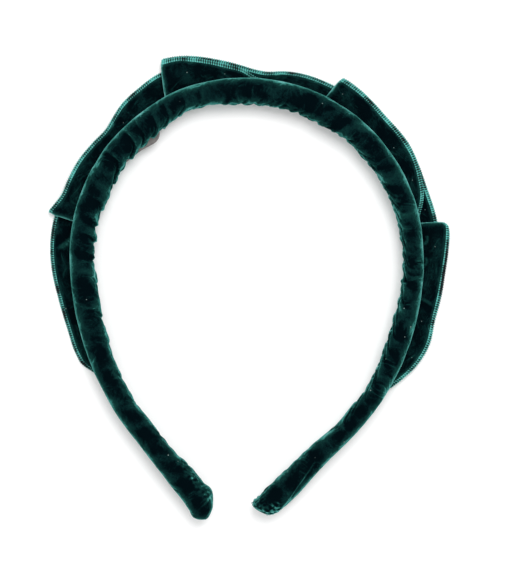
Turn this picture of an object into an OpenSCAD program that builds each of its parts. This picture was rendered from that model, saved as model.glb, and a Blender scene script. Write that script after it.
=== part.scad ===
// A padded velvet hair band with one wide velvet ribbon folded and knotted on in four loops.
// It lies flat: the band's plane is XY, its crown is towards +Y, and it rests on Z = 0.
// The springy strip inside is one bent piece on the real object. Here it is cut at its two
// shoulders, and each arm swings outwards on an upright axis to stand for the strip's flex.

/* [Band line] */
// Radius of the crown, to the middle of the band
crown_r = 59.2; // [54:0.1:64]
// Sideways place of the crown's middle
crown_x = -1.2; // [-3:0.1:3]
// Lengthwise place of the crown's middle
crown_y = 11.9; // [8:0.1:16]
// Sweep of the crown's curve to the right of its top, in degrees
right_crown_sweep = 83; // [75:1:95]
// Radius of the right side below the crown
right_side_r = 87; // [75:1:110]
// Sweep of the right side, in degrees
right_side_sweep = 53; // [45:1:58]
// Length of the straight right leg
right_leg = 36.5; // [30:0.5:45]
// Sweep of the crown's curve to the left of its top, in degrees
left_crown_sweep = 90; // [80:1:95]
// Radius of the left side below the crown
left_side_r = 101; // [85:1:120]
// Sweep of the left side, in degrees
left_side_sweep = 38; // [30:1:45]
// Length of the straight left leg
left_leg = 40; // [30:0.5:45]

/* [Band section] */
// Thickness of the covered band, from the head outwards
band_t = 8.8; // [8:0.1:10]
// Width of the covered band, across the head
band_w = 10; // [9:0.5:14]
// Radius of the covered band's long edges
band_edge_r = 3.6; // [2.5:0.1:4]
// Thickness of the velvet cover
cover_t = 1; // [0.8:0.1:1.4]
// Thickness of the springy strip
strip_t = 1.6; // [1.2:0.1:2]
// Width of the springy strip
strip_w = 6; // [5:0.5:7]
// Rounding of the leg tips, seen from above
tip_r = 3.2; // [2:0.1:4]

/* [Flex] */
// Angle of each shoulder from the crown's top, in degrees
shoulder_angle = 46; // [40:1:50]
// Half of the cut at a shoulder, in degrees
shoulder_gap = 0.2; // [0.15:0.05:0.3]

/* [Ribbon] */
// Thickness of the velvet ribbon with its pile
ribbon_t = 0.8; // [0.6:0.1:0.9]
// Space between layers of the ribbon
layer_gap = 0.3; // [0.2:0.05:0.4]
// Width of the ribbon
ribbon_w = 16; // [16:0.5:22]
// How far inwards from the middle of the band the ribbon's hidden edge may reach
ribbon_tuck = 3.7; // [2:0.1:4]

/* [Trim] */
// Thickness of the thread in the tacks
thread_d = 0.5; // [0.3:0.05:0.6]
// Length of a tack along the band
tack_len = 3; // [2:0.5:5]
// Thickness of the small cloth tab on the inside of the band
tab_t = 0.6; // [0.4:0.1:0.8]

/* [Hidden] */
$fn = 64;

velvet = "#0d3d3a";
ribbon_velvet = "#0f4a45";
foam = "#d8d4c8";
plastic = "#3a3f40";
thread = "#1c6d64";
tab_cloth = "#a39e9c";

right = 1;
left = -1;
fit = 0.05;                               // clearance between one layer of the band and the next
end_wall = 1.2;                           // cover over the end of a leg
end_pad = 2;                              // padding past the end of the strip
layer_pitch = ribbon_t + layer_gap;
bottom_z = 0;                             // lowest layer of ribbon, on the table
middle_z = layer_pitch;                   // back of a loop
top_z = 2 * layer_pitch;                  // front of a loop
band_z = top_z + ribbon_t + layer_gap + band_w / 2;
path_step = 2.5;                          // spacing of points along a ribbon's edge
ring_pitch = 6;                           // spacing of the rings along an arm
tip_steps = 3;                            // rings round the end of a leg
fold_inset = 0.2;                         // how far a fold stays inside its loop's outline
corner_steps = 3;                         // chords round a corner of a section

// --- the band's middle line -------------------------------------------------------------
// A place on it is its distance along from the crown's top, clockwise positive, and its
// distance outwards from the line.

function side_of(along) = along < 0 ? left : right;
function crown_sweep(side) = side == right ? right_crown_sweep : left_crown_sweep;
function side_r(side) = side == right ? right_side_r : left_side_r;
function side_sweep(side) = side == right ? right_side_sweep : left_side_sweep;
function leg(side) = side == right ? right_leg : left_leg;
function crown_len(side) = arc_len(crown_r, crown_sweep(side));
function side_len(side) = arc_len(side_r(side), side_sweep(side));
function arc_len(r, sweep) = r * sweep * PI / 180;
function arc_turn(r, len) = len / r * 180 / PI;

// Turn of the line from the crown's top, in degrees, at a distance along one side.
function turn(side, len) =
    len <= crown_len(side) ? arc_turn(crown_r, len)
    : crown_sweep(side) + min(side_sweep(side), arc_turn(side_r(side), len - crown_len(side)));

function outward(side, angle) = [side * sin(angle), cos(angle)];
function forward(side, angle) = [side * cos(angle), -sin(angle)];

// Point at a distance along one side and a distance outwards, from the crown's middle.
function side_point(side, len, out) =
    let (angle = turn(side, len), crown_end = crown_sweep(side))
    len <= crown_len(side) ? (crown_r + out) * outward(side, angle)
    : (crown_r - side_r(side)) * outward(side, crown_end)
        + (side_r(side) + out) * outward(side, angle)
        + max(0, len - crown_len(side) - side_len(side)) * forward(side, angle);

function band_point(place) =
    [crown_x, crown_y] + side_point(side_of(place[0]), abs(place[0]), place[1]);

// --- the band ---------------------------------------------------------------------------
// Every layer of the band has a section of the same kind: [thickness, width, edge radius].

cover_section = [band_t, band_w, band_edge_r];
cavity_section = inset(cover_section, cover_t);
padding_section = inset(cavity_section, fit);
strip_section = [strip_t, strip_w, 0.7];
slot_section = inset(strip_section, -fit);

cover_end = 0;                            // how far short of the leg's end each layer stops
cavity_end = end_wall;
padding_end = end_wall + fit;
slot_end = padding_end + end_pad;
strip_end = slot_end + fit;

function inset(section, by) = [section[0] - 2 * by, section[1] - 2 * by, section[2] - by];

// Rounded outline of a section, with its middle on the band's line: X is outwards, Y is up.
module section_outline(section) {
    flat_t = section[0] - 2 * section[2];
    flat_w = section[1] - 2 * section[2];
    square([flat_t, section[1]], center = true);
    square([section[0], flat_w], center = true);
    for (x = [-1, 1], y = [-1, 1])
        translate([x * flat_t / 2, y * flat_w / 2])
            circle(section[2]);
}

// The crown's curve, from shoulder to shoulder, less a gap at each end.
module crown_piece(section, gap) {
    sweep = 2 * (shoulder_angle - gap);
    translate([crown_x, crown_y, band_z])
        rotate([0, 0, 90 - sweep / 2])
            rotate_extrude(angle = sweep)
                translate([crown_r, 0])
                    section_outline(section);
}

// One corner of a section's outline as points, counter-clockwise.
function corner_points(section, corner) =
    let (across = corner == 0 || corner == 3 ? 1 : -1, up = corner < 2 ? 1 : -1)
    [for (k = [0:corner_steps])
        let (angle = 90 * (corner + k / corner_steps))
        [across * (section[0] / 2 - section[2]) + section[2] * cos(angle),
            up * (section[1] / 2 - section[2]) + section[2] * sin(angle)]];

// The section stood across the band's line at a distance along one side.
function ring(side, along, section) =
    let (outline = [for (corner = [0:3]) each corner_points(section, corner)])
    [for (q = outline)
        let (p = band_point([side * along, q[0]]))
        [p[0], p[1], band_z + q[1]]];

// Rings along an arm, from its shoulder to a rounded tip that stops short of the leg's end.
function arm_rings(side, section, short) =
    let (start = arc_len(crown_r, shoulder_angle + shoulder_gap),
        tip = crown_len(side) + side_len(side) + leg(side) - short,
        round_r = min(tip_r, section[2] - 0.1),
        steps = ceil((tip - round_r - start) / ring_pitch))
    concat(
        [for (k = [0:steps]) ring(side, start + (tip - round_r - start) * k / steps, section)],
        [for (k = [1:tip_steps])
            let (angle = 90 * k / tip_steps)
            ring(side, tip - round_r * (1 - sin(angle)), inset(section, round_r * (1 - cos(angle))))]
    );

function backwards(list) = [for (i = [len(list) - 1:-1:0]) list[i]];

// A closed skin through rings of equal count, capped at both ends.
module skin(rings, side) {
    count = len(rings[0]);
    last = len(rings) - 1;
    sides = [
        for (i = [0:last - 1], k = [0:count - 1])
            let (a = i * count + k, b = i * count + (k + 1) % count)
            each [[a, b, b + count], [a, b + count, a + count]]
    ];
    near_cap = [for (k = [0:count - 1]) k];
    far_cap = [for (k = [0:count - 1]) last * count + k];
    faces = concat(sides, [backwards(near_cap)], [far_cap]);
    polyhedron([for (r = rings) each r], side == right ? faces : [for (f = faces) backwards(f)]);
}

// An arm with a hollow that is open at the shoulder: one skin, in at the tip of the hollow
// and back along the outside.
module hollow_arm(side, outer, outer_short, inner, inner_short) {
    skin(concat(backwards(arm_rings(side, inner, inner_short)),
        arm_rings(side, outer, outer_short)), side);
}

open_end = -1;                            // a hollow runs this many degrees past a cut end

module cover_crown() {
    color(velvet)
        difference() {
            crown_piece(cover_section, shoulder_gap);
            crown_piece(cavity_section, open_end);
        }
}

module padding_crown() {
    color(foam)
        difference() {
            crown_piece(padding_section, shoulder_gap);
            crown_piece(slot_section, open_end);
        }
}

module strip_crown() {
    color(plastic)
        crown_piece(strip_section, shoulder_gap);
}

module cover_arm(side) {
    color(velvet)
        hollow_arm(side, cover_section, cover_end, cavity_section, cavity_end);
}

module padding_arm(side) {
    color(foam)
        hollow_arm(side, padding_section, padding_end, slot_section, slot_end);
}

module strip_arm(side) {
    color(plastic)
        skin(arm_rings(side, strip_section, strip_end), side);
}

// --- the ribbon -------------------------------------------------------------------------
// Each layer is a flat strip. Its outer edge runs through a few places along the band, and
// its inner edge is tucked under the band, where it is gathered if the width is more than
// the layer has room for.

// Slope of the edge at station i, from its neighbours.
function slope(edge, i) =
    let (a = edge[max(0, i - 1)], b = edge[min(len(edge) - 1, i + 1)])
    (b[1] - a[1]) / (b[0] - a[0]);

// Reach of the edge between stations i and i + 1, on one smooth curve through them all.
function reach_between(edge, i, u) =
    let (a = edge[i], b = edge[i + 1], span = b[0] - a[0])
    (2 * u ^ 3 - 3 * u ^ 2 + 1) * a[1] + (3 * u ^ 2 - 2 * u ^ 3) * b[1]
        + (u ^ 3 - 2 * u ^ 2 + u) * span * slope(edge, i)
        + (u ^ 3 - u ^ 2) * span * slope(edge, i + 1);

function edge_places(edge) = [
    for (i = [0:len(edge) - 2])
        let (span = edge[i + 1][0] - edge[i][0], steps = ceil(span / path_step))
        for (k = [0:steps - 1])
            [edge[i][0] + span * k / steps, reach_between(edge, i, k / steps)],
    edge[len(edge) - 1]
];

// How far out the hidden edge lies where the outer edge lies at a given reach.
function tucked(reach) = max(-ribbon_tuck, reach - ribbon_w);

// The tucked edge, from the far end back to the near end.
function tuck_places(edge, near, far) =
    let (places = edge_places(edge), first = edge[0][0], last = edge[len(edge) - 1][0])
    [for (place = backwards(places))
        [near + (far - near) * (place[0] - first) / (last - first), tucked(place[1])]];

module ribbon_layer(edge, near, far, z) {
    places = concat(edge_places(edge), tuck_places(edge, near, far));
    translate([0, 0, z])
        linear_extrude(ribbon_t)
            polygon([for (place = places) band_point(place)]);
}

// The turned edge that joins the two layers of a loop, between two places in plan. It is a
// little slimmer and shorter than the loop, so that it doesn't just touch the loop's faces.
module ribbon_fold(outer, inner) {
    a = band_point(outer);
    b = band_point(inner);
    run = b - a;
    fold_r = (layer_pitch + ribbon_t) / 2;
    translate([a[0], a[1], middle_z + fold_r])
        rotate([0, 0, atan2(run[1], run[0])])
            translate([fold_inset, 0, 0])
                rotate([0, 90, 0])
                    cylinder(h = norm(run) - 2 * fold_inset, r = fold_r - fold_inset / 2);
}

// A folded loop: its back and front layers, joined along the fold at its near end.
module ribbon_loop(back, front, near, back_far, front_far) {
    color(ribbon_velvet) {
        ribbon_layer(back, near, back_far, middle_z);
        ribbon_layer(front, near, front_far, top_z);
        ribbon_fold(back[0], [near, tucked(back[0][1])]);
    }
}

// Places along the band where the ribbon is gathered and tacked down.
start_tack = -132;
knot_1 = -49;
knot_2 = 5;
knot_3 = 80;
end_tack = 138;

// Where each loop turns over: at the tucked edge, then at the outer edge.
fold_1 = [-81.5, -79.8];
fold_2 = [-27.8, -24];
fold_3 = [27.5, 30];
fold_4 = [82.6, 84.6];

// How far each outer edge stands from the band's middle line, at places along the band.
start_edge = [[start_tack, 5], [-129, 7.6], [-124, 8.3], [-110, 9], [-97.5, 10.6],
    [-88, 11.3], [-70, 9.8], [knot_1, 8.4]];
loop_1_edge = [[fold_1[1], 12.6], [-74, 10.7], [-62, 10.2], [-55, 9.2], [knot_1, 8.8]];
run_1_edge = [[-46, 9.4], [-41, 11], [-34, 12.5], [-26, 13.3], [-12, 9.5], [knot_2 - 2, 5.4]];
loop_2_back = [[fold_2[1], 17], [-18, 15.6], [-9, 11.9], [-2, 9.1], [knot_2 + 1, 7]];
loop_2_front = [[fold_2[1], 16.4], [-18, 14.6], [-9, 10.6], [-2, 7.4], [knot_2, 4.8]];
run_2_edge = [[knot_2 + 1.5, 7], [12, 8.2], [18, 9], [28, 9.4], [44, 9.4]];
loop_3_back = [[fold_3[1], 12.9], [38, 12.4], [47, 11.4]];
loop_3_front = loop_3_back;
loop_3_end_back = [[50.2, 11.4], [60, 11.3], [68, 10.2], [knot_3, 9.9]];
loop_3_end_front = [[50.2, 11.4], [62, 10.8], [72, 8.3], [knot_3, 5]];
run_3_edge = [[50.5, 9.8], [62, 10], [70, 9.6], [82.2, 10.2], [100, 9.8], [122, 9.4],
    [end_tack - 2, 5]];
loop_4_edge = [[fold_4[1], 13.8], [92, 13.1], [106, 11.4], [122, 10.6], [127.5, 9.8],
    [end_tack, 5.4]];

module ribbon_start() {
    color(ribbon_velvet)
        ribbon_layer(start_edge, start_tack, knot_1, bottom_z);
}

module ribbon_loop_1() {
    ribbon_loop(loop_1_edge, loop_1_edge, fold_1[0], knot_1, knot_1);
}

module ribbon_run_1() {
    color(ribbon_velvet)
        ribbon_layer(run_1_edge, -46, knot_2 - 2, bottom_z);
}

module ribbon_loop_2() {
    ribbon_loop(loop_2_back, loop_2_front, fold_2[0], knot_2 + 1, knot_2);
}

module ribbon_run_2() {
    color(ribbon_velvet)
        ribbon_layer(run_2_edge, knot_2 - 1, 44, bottom_z);
}

module ribbon_loop_3() {
    ribbon_loop(loop_3_back, loop_3_front, fold_3[0], 47, 47);
}

// The rest of the third loop, past the shoulder. It starts on a slant, so that it clears the
// loop when the arm swings out.
module ribbon_loop_3_end() {
    color(ribbon_velvet) {
        ribbon_layer(loop_3_end_back, 48, knot_3, middle_z);
        ribbon_layer(loop_3_end_front, 48, knot_3, top_z);
        ribbon_fold([knot_3 - 1, 2], [knot_3 - 1, -ribbon_tuck]);
    }
}

module ribbon_run_3() {
    color(ribbon_velvet)
        ribbon_layer(run_3_edge, 50, end_tack - 2, bottom_z);
}

module ribbon_loop_4() {
    ribbon_loop(loop_4_edge, loop_4_edge, fold_4[0], end_tack, end_tack);
}

// --- the trim ---------------------------------------------------------------------------

tack_out = band_t / 2 - 0.2;              // in the hollow corner under the band's outer edge
tack_z = top_z + ribbon_t + 0.8;
knot_r = 0.65;

// A short run of thread along the band with a knot in its middle.
module tack(along) {
    p = band_point([along, tack_out]);
    side = side_of(along);
    translate([p[0], p[1], tack_z]) {
        sphere(knot_r);
        rotate([0, 0, -side * turn(side, abs(along))])
            rotate([0, 90, 0])
                cylinder(h = tack_len, d = thread_d, center = true);
    }
}

module tacks(places) {
    color(thread)
        for (along = places)
            tack(along);
}

tab_near = -46;
tab_far = -36.5;
tab_root = -band_t / 2 - 0.1;
tab_drop = [[tab_near, -5.6], [-43, -6.2], [-40, -7], [-37.8, -6.6], [tab_far, -5]];

// A small plain cloth tab that lies flat and stands out on the inside of the band.
module inner_tab() {
    steps = ceil((tab_far - tab_near) / path_step);
    root = [for (k = [0:steps]) [tab_far + (tab_near - tab_far) * k / steps, tab_root]];
    color(tab_cloth)
        translate([0, 0, band_z - tab_t / 2])
            linear_extrude(tab_t)
                polygon([for (place = concat(edge_places(tab_drop), root)) band_point(place)]);
}

strip_crown();
padding_crown();
cover_crown();
strip_arm(left);  // strip_left
padding_arm(left);  // padding_left
cover_arm(left);  // cover_left
strip_arm(right);  // strip_right
padding_arm(right);  // padding_right
cover_arm(right);  // cover_right
ribbon_start();
ribbon_loop_1();
ribbon_run_1();
ribbon_loop_2();
ribbon_run_2();
ribbon_loop_3();
ribbon_loop_3_end();
ribbon_run_3();
ribbon_loop_4();
tacks([start_tack, knot_1 - 1]);  // tacks_left
tacks([knot_2 - 2]);  // tacks_crown
tacks([knot_3 - 2, end_tack - 2]);  // tacks_right
inner_tab();
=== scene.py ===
import functools
import math

import bpy
import numpy as np
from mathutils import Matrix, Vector


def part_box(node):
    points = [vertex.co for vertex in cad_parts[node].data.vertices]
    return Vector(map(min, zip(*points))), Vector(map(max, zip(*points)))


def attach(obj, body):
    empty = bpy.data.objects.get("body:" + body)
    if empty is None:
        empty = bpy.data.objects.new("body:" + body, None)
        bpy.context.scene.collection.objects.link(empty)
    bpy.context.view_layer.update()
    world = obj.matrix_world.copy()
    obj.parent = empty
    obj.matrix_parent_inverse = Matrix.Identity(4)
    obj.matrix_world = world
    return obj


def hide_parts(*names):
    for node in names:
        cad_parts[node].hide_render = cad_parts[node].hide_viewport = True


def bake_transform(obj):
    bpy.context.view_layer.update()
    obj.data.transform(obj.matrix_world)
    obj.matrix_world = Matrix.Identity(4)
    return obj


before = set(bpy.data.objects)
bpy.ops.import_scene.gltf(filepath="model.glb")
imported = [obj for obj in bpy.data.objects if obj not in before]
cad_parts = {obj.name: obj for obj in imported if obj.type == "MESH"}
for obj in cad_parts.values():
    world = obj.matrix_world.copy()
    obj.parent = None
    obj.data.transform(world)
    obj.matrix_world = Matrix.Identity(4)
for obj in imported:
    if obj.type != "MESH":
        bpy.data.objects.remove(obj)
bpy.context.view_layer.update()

# A padded velvet hair band that lies flat, with a velvet ribbon folded on in four loops.
# Shapes are worked out in millimetres. A place on the band is s, the distance along its middle
# line from the crown's top (clockwise positive), d, the distance outwards from that line, and z.

MM = 0.001

# ---------------------------------------------------------------- the band's middle line

CROWN_R = 59.2
CROWN_CENTRE = (-1.2, 11.9)
LEFT, RIGHT = -1, 1
CROWN_SWEEP = {LEFT: 90, RIGHT: 83}
SIDE_R = {LEFT: 101, RIGHT: 87}
SIDE_SWEEP = {LEFT: 38, RIGHT: 53}


def arc(radius, degrees):
    return radius * math.radians(degrees)


CROWN_LEN = {side: arc(CROWN_R, CROWN_SWEEP[side]) for side in (LEFT, RIGHT)}
SIDE_LEN = {side: arc(SIDE_R[side], SIDE_SWEEP[side]) for side in (LEFT, RIGHT)}

BAND_LOW, BAND_HIGH = (corner.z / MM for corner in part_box("cover_crown"))
BAND_Z = (BAND_LOW + BAND_HIGH) / 2


def band_plan(s, d):
    """Where places along and outwards of the band's line lie, seen from above."""
    s, d = np.broadcast_arrays(np.asarray(s, float), np.asarray(d, float))
    x = np.empty(s.shape)
    y = np.empty(s.shape)
    for side in (LEFT, RIGHT):
        here = s < 0 if side == LEFT else s >= 0
        length, out = np.abs(s[here]), d[here]
        crown_end = math.radians(CROWN_SWEEP[side])
        side_r, past = SIDE_R[side], length - CROWN_LEN[side]
        turn = np.where(past <= 0, length / CROWN_R,
                        crown_end + np.clip(past / side_r, 0, math.radians(SIDE_SWEEP[side])))
        straight = np.maximum(0, past - SIDE_LEN[side])
        root = np.where(past <= 0, 0, CROWN_R - side_r)
        radius = np.where(past <= 0, CROWN_R, side_r) + out
        x[here] = CROWN_CENTRE[0] + side * (
            root * math.sin(crown_end) + radius * np.sin(turn) + straight * np.cos(turn))
        y[here] = CROWN_CENTRE[1] + (
            root * math.cos(crown_end) + radius * np.cos(turn) - straight * np.sin(turn))
    return x, y


def band_points(s, d, z):
    """The same places as points, in metres."""
    x, y = band_plan(s, d)
    return np.stack([x, y, np.broadcast_to(z, x.shape)], axis=-1) * MM


def reach(stations, s):
    """One smooth curve through a few (s, d) places."""
    at, value = np.array(stations, float).T
    slope = np.gradient(value, at)
    s = np.clip(s, at[0], at[-1])
    i = np.clip(np.searchsorted(at, s, side="right") - 1, 0, len(at) - 2)
    span = at[i + 1] - at[i]
    u = (s - at[i]) / span
    return ((2 * u**3 - 3 * u**2 + 1) * value[i] + (3 * u**2 - 2 * u**3) * value[i + 1]
            + (u**3 - 2 * u**2 + u) * span * slope[i] + (u**3 - u**2) * span * slope[i + 1])


def smooth_step(x, start, end):
    u = np.clip((x - start) / (end - start), 0, 1)
    return u * u * (3 - 2 * u)


def waves(points, size, seed, count=12):
    """Smooth random relief of about -1 to 1, with features of about one size."""
    rng = np.random.default_rng(seed)
    total = np.zeros(points.shape[:-1])
    for _ in range(count):
        direction = rng.normal(size=3)
        direction /= np.linalg.norm(direction)
        wavelength = size * rng.uniform(1.3, 2.8)
        phase = rng.uniform(0, 2 * math.pi)
        total += np.sin(points @ direction * 2 * math.pi / wavelength + phase)
    return total / math.sqrt(count)


# ---------------------------------------------------------------- materials

def nodes_of(name):
    """A new material, its tree, and its shader."""
    material = bpy.data.materials.new(name)
    material.use_nodes = True
    return material, material.node_tree, material.node_tree.nodes["Principled BSDF"]


def add(tree, kind, **settings):
    node = tree.nodes.new(kind)
    for key, value in settings.items():
        setattr(node, key, value)
    return node


def cloth_place(tree):
    """Millimetres along and across the cloth, which stay with it when it bends."""
    return add(tree, "ShaderNodeAttribute", attribute_name="cloth").outputs["Vector"]


def maths(tree, operation, *values):
    made = add(tree, "ShaderNodeMath", operation=operation)
    for value, socket in zip(values, made.inputs):
        if isinstance(value, bpy.types.NodeSocket):
            tree.links.new(value, socket)
        else:
            socket.default_value = value
    return made.outputs[0]


def total(tree, *values):
    """The sum of several values."""
    return functools.reduce(lambda a, b: maths(tree, "ADD", a, b), values)


def times(tree, value, size):
    return maths(tree, "MULTIPLY", value, size)


def swing(tree, value, size):
    """A value of 0 to 1, as a swing to both sides of 0."""
    return times(tree, maths(tree, "SUBTRACT", value, 0.5), size)


def painted_light_and_wear_of(tree):
    """The fold value: painted highlights where it is above 0 and painted shade where it is below
    0, with random tone and, on the cover, worn patches.
    """
    return add(tree, "ShaderNodeAttribute", attribute_name="fold").outputs["Fac"]


def noise(tree, place, per_mm, detail=2.0, distortion=0.0, stretch=(1, 1, 1)):
    mapping = add(tree, "ShaderNodeMapping")
    mapping.inputs["Scale"].default_value = stretch
    tree.links.new(place, mapping.inputs["Vector"])
    made = add(tree, "ShaderNodeTexNoise")
    made.inputs["Scale"].default_value = per_mm
    made.inputs["Detail"].default_value = detail
    made.inputs["Distortion"].default_value = distortion
    tree.links.new(mapping.outputs["Vector"], made.inputs["Vector"])
    return made.outputs["Fac"]


def ramp(tree, value, *stops):
    """Colours, or greys where a stop gives one number, at places along a value."""
    made = add(tree, "ShaderNodeValToRGB")
    tree.links.new(value, made.inputs["Fac"])
    elements = made.color_ramp.elements
    while len(elements) < len(stops):
        elements.new(0.5)
    for element, (place, colour) in zip(elements, stops):
        element.position = place
        element.color = (*colour, 1) if hasattr(colour, "__len__") else (colour, colour, colour, 1)
    return made.outputs["Color"]


def mix(tree, factor, a, b, blend="MIX"):
    made = add(tree, "ShaderNodeMix", data_type="RGBA", blend_type=blend)
    for value, socket in ((factor, made.inputs[0]), (a, made.inputs[6]), (b, made.inputs[7])):
        if isinstance(value, bpy.types.NodeSocket):
            tree.links.new(value, socket)
        elif hasattr(value, "__len__"):
            socket.default_value = (*value, 1)
        else:
            socket.default_value = value
    return made.outputs[2]


def bump(tree, shader, height, distance, strength=1.0):
    made = add(tree, "ShaderNodeBump")
    made.inputs["Distance"].default_value = distance
    made.inputs["Strength"].default_value = strength
    tree.links.new(height, made.inputs["Height"])
    tree.links.new(made.outputs["Normal"], shader.inputs["Normal"])


# The velvet's colours from dark to bright. RIM and PALE, at the bright end, are painted sheen.
DEEP = (0.0006, 0.0030, 0.0043)           # pile seen end on
TEAL = (0.0020, 0.0120, 0.0130)           # pile that leans a little
GREEN = (0.0050, 0.0330, 0.0290)          # crushed pile
RIM = (0.0400, 0.2050, 0.1800)            # pile seen from the side: painted sheen, and the sheen tint
PALE = (0.1200, 0.3500, 0.3300)
WEFT = (0.0900, 0.4000, 0.3600)           # satin threads of the ribbon's woven edge
LINT = (0.22, 0.30, 0.28)
TAPE_PITCH = 0.4                          # the grey tape's thread spacing, in millimetres


def velvet(name, patch_mm, stretch, sheen_tilt_mm):
    """Velvet with painted sheen: its base colour is nearly black where the surface is seen end on,
    and painted bright where it is seen from the side, over a normal tilted differently from patch
    to patch. The fold value adds painted highlights and shade."""
    material, tree, shader = nodes_of(name)
    place = cloth_place(tree)
    broad = noise(tree, place, 1 / patch_mm, detail=3, distortion=0.9, stretch=stretch)
    fine = noise(tree, place, 0.55, detail=3, distortion=0.7)
    grain = noise(tree, place, 3.0, detail=4)
    height = total(tree, broad, times(tree, fine, 0.12))
    # Painted sheen: a bump over the broad patches tilts the normal, and Layer Weight's facing over
    # it brightens the base colour towards grazing views.
    sheen_tilt = add(tree, "ShaderNodeBump")
    sheen_tilt.inputs["Distance"].default_value = sheen_tilt_mm * MM
    tree.links.new(height, sheen_tilt.inputs["Height"])
    weight = add(tree, "ShaderNodeLayerWeight")
    weight.inputs["Blend"].default_value = 0.5
    tree.links.new(sheen_tilt.outputs["Normal"], weight.inputs["Normal"])
    # Painted sheen from the facing term, painted highlights and shade from the fold value, and
    # random tone from grain and fine noise.
    sheen_and_tone = total(tree, weight.outputs["Facing"], swing(tree, grain, 0.42),
                 times(tree, painted_light_and_wear_of(tree), 0.38), swing(tree, fine, 0.3))
    body = ramp(tree, sheen_and_tone, (0.0, DEEP), (0.11, TEAL), (0.44, GREEN), (0.78, RIM), (1.0, PALE))
    specks = add(tree, "ShaderNodeTexVoronoi")
    specks.inputs["Scale"].default_value = 0.2
    tree.links.new(place, specks.inputs["Vector"])
    body = mix(tree, ramp(tree, specks.outputs["Distance"], (0.02, 1.0), (0.05, 0.0)), body, LINT)
    tree.links.new(body, shader.inputs["Base Color"])
    shader.inputs["Roughness"].default_value = 0.9
    shader.inputs["Specular IOR Level"].default_value = 0.0
    shader.inputs["Sheen Weight"].default_value = 0.12
    shader.inputs["Sheen Roughness"].default_value = 0.3
    shader.inputs["Sheen Tint"].default_value = (*RIM, 1)
    bump(tree, shader, grain, 0.00012, 0.7)
    return material


def woven_edge(name):
    """The ribbon's ribbed edge: bright satin threads over a dark ground."""
    material, tree, shader = nodes_of(name)
    place = cloth_place(tree)
    split = add(tree, "ShaderNodeSeparateXYZ")
    tree.links.new(place, split.inputs[0])
    ribs = maths(tree, "COSINE", times(tree, split.outputs["X"], 2 * math.pi / RIB_PITCH))
    rows = maths(tree, "COSINE", times(tree, split.outputs["Y"], 2 * math.pi / ROW_PITCH))
    worn = noise(tree, place, 0.22, detail=4)
    strands = noise(tree, place, 5.0, detail=3, stretch=(1, 0.3, 1))
    # The fold value adds the ribbon's painted highlights and shade to the threads' brightness.
    bright = total(tree, times(tree, ribs, 0.36), swing(tree, worn, 2.2), times(tree, rows, 0.16),
                   swing(tree, strands, 0.9), times(tree, painted_light_and_wear_of(tree), 0.4), 0.46)
    colour = ramp(tree, bright, (0.02, DEEP), (0.25, GREEN), (0.5, RIM), (0.9, WEFT))
    tree.links.new(colour, shader.inputs["Base Color"])
    shader.inputs["Roughness"].default_value = 0.55
    shader.inputs["Specular IOR Level"].default_value = 0.1
    shader.inputs["Sheen Weight"].default_value = 0.15
    shader.inputs["Sheen Tint"].default_value = (*RIM, 1)
    bump(tree, shader, strands, 0.00008, 0.6)
    return material


def fibre_material(name, dark, light, fibres, roughness, sheen, relief, strength):
    """One noise gives both the colour and the relief. fibres says what noise it is."""
    material, tree, shader = nodes_of(name)
    grain = noise(tree, cloth_place(tree), **fibres)
    tree.links.new(ramp(tree, grain, (0.3, dark), (0.7, light)), shader.inputs["Base Color"])
    shader.inputs["Roughness"].default_value = roughness
    shader.inputs["Sheen Weight"].default_value = sheen
    bump(tree, shader, grain, relief, strength)
    return material


def thread_material(name, dark, light):
    return fibre_material(name, dark, light, {"per_mm": 2.5, "detail": 2, "stretch": (1, 0.4, 1)},
                          0.55, 0.3, 0.0001, 0.8)


def tape_material():
    """Plain grey woven tape, for the tab."""
    material, tree, shader = nodes_of("grey_tape")
    place = cloth_place(tree)
    split = add(tree, "ShaderNodeSeparateXYZ")
    tree.links.new(place, split.inputs[0])
    per_mm = 2 * math.pi / TAPE_PITCH
    warp, weft = (maths(tree, "SINE", times(tree, split.outputs[axis], per_mm))
                  for axis in ("X", "Y"))
    weave = times(tree, warp, weft)
    soil = noise(tree, place, 0.4, detail=4)
    colour = ramp(tree, soil, (0.35, (0.13, 0.12, 0.115)), (0.65, (0.23, 0.215, 0.205)))
    colour = mix(tree, 0.3, colour, ramp(tree, weave, (0.2, 0.4), (0.8, 1.0)), "MULTIPLY")
    tree.links.new(colour, shader.inputs["Base Color"])
    shader.inputs["Roughness"].default_value = 0.8
    shader.inputs["Sheen Weight"].default_value = 0.2
    bump(tree, shader, weave, 0.00006, 0.8)
    return material


# ---------------------------------------------------------------- meshes from grids

def grid_faces(rows, columns, wrap_rows, wrap_columns):
    """Quads between the points of a grid that is numbered row by row."""
    i, j = np.meshgrid(np.arange(rows if wrap_rows else rows - 1),
                       np.arange(columns if wrap_columns else columns - 1), indexing="ij")
    a = i * columns + j
    b = i * columns + (j + 1) % columns
    up = ((i + 1) % rows) * columns
    return np.stack([a, b, up + (j + 1) % columns, up + j], axis=-1).reshape(-1, 4)


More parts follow.
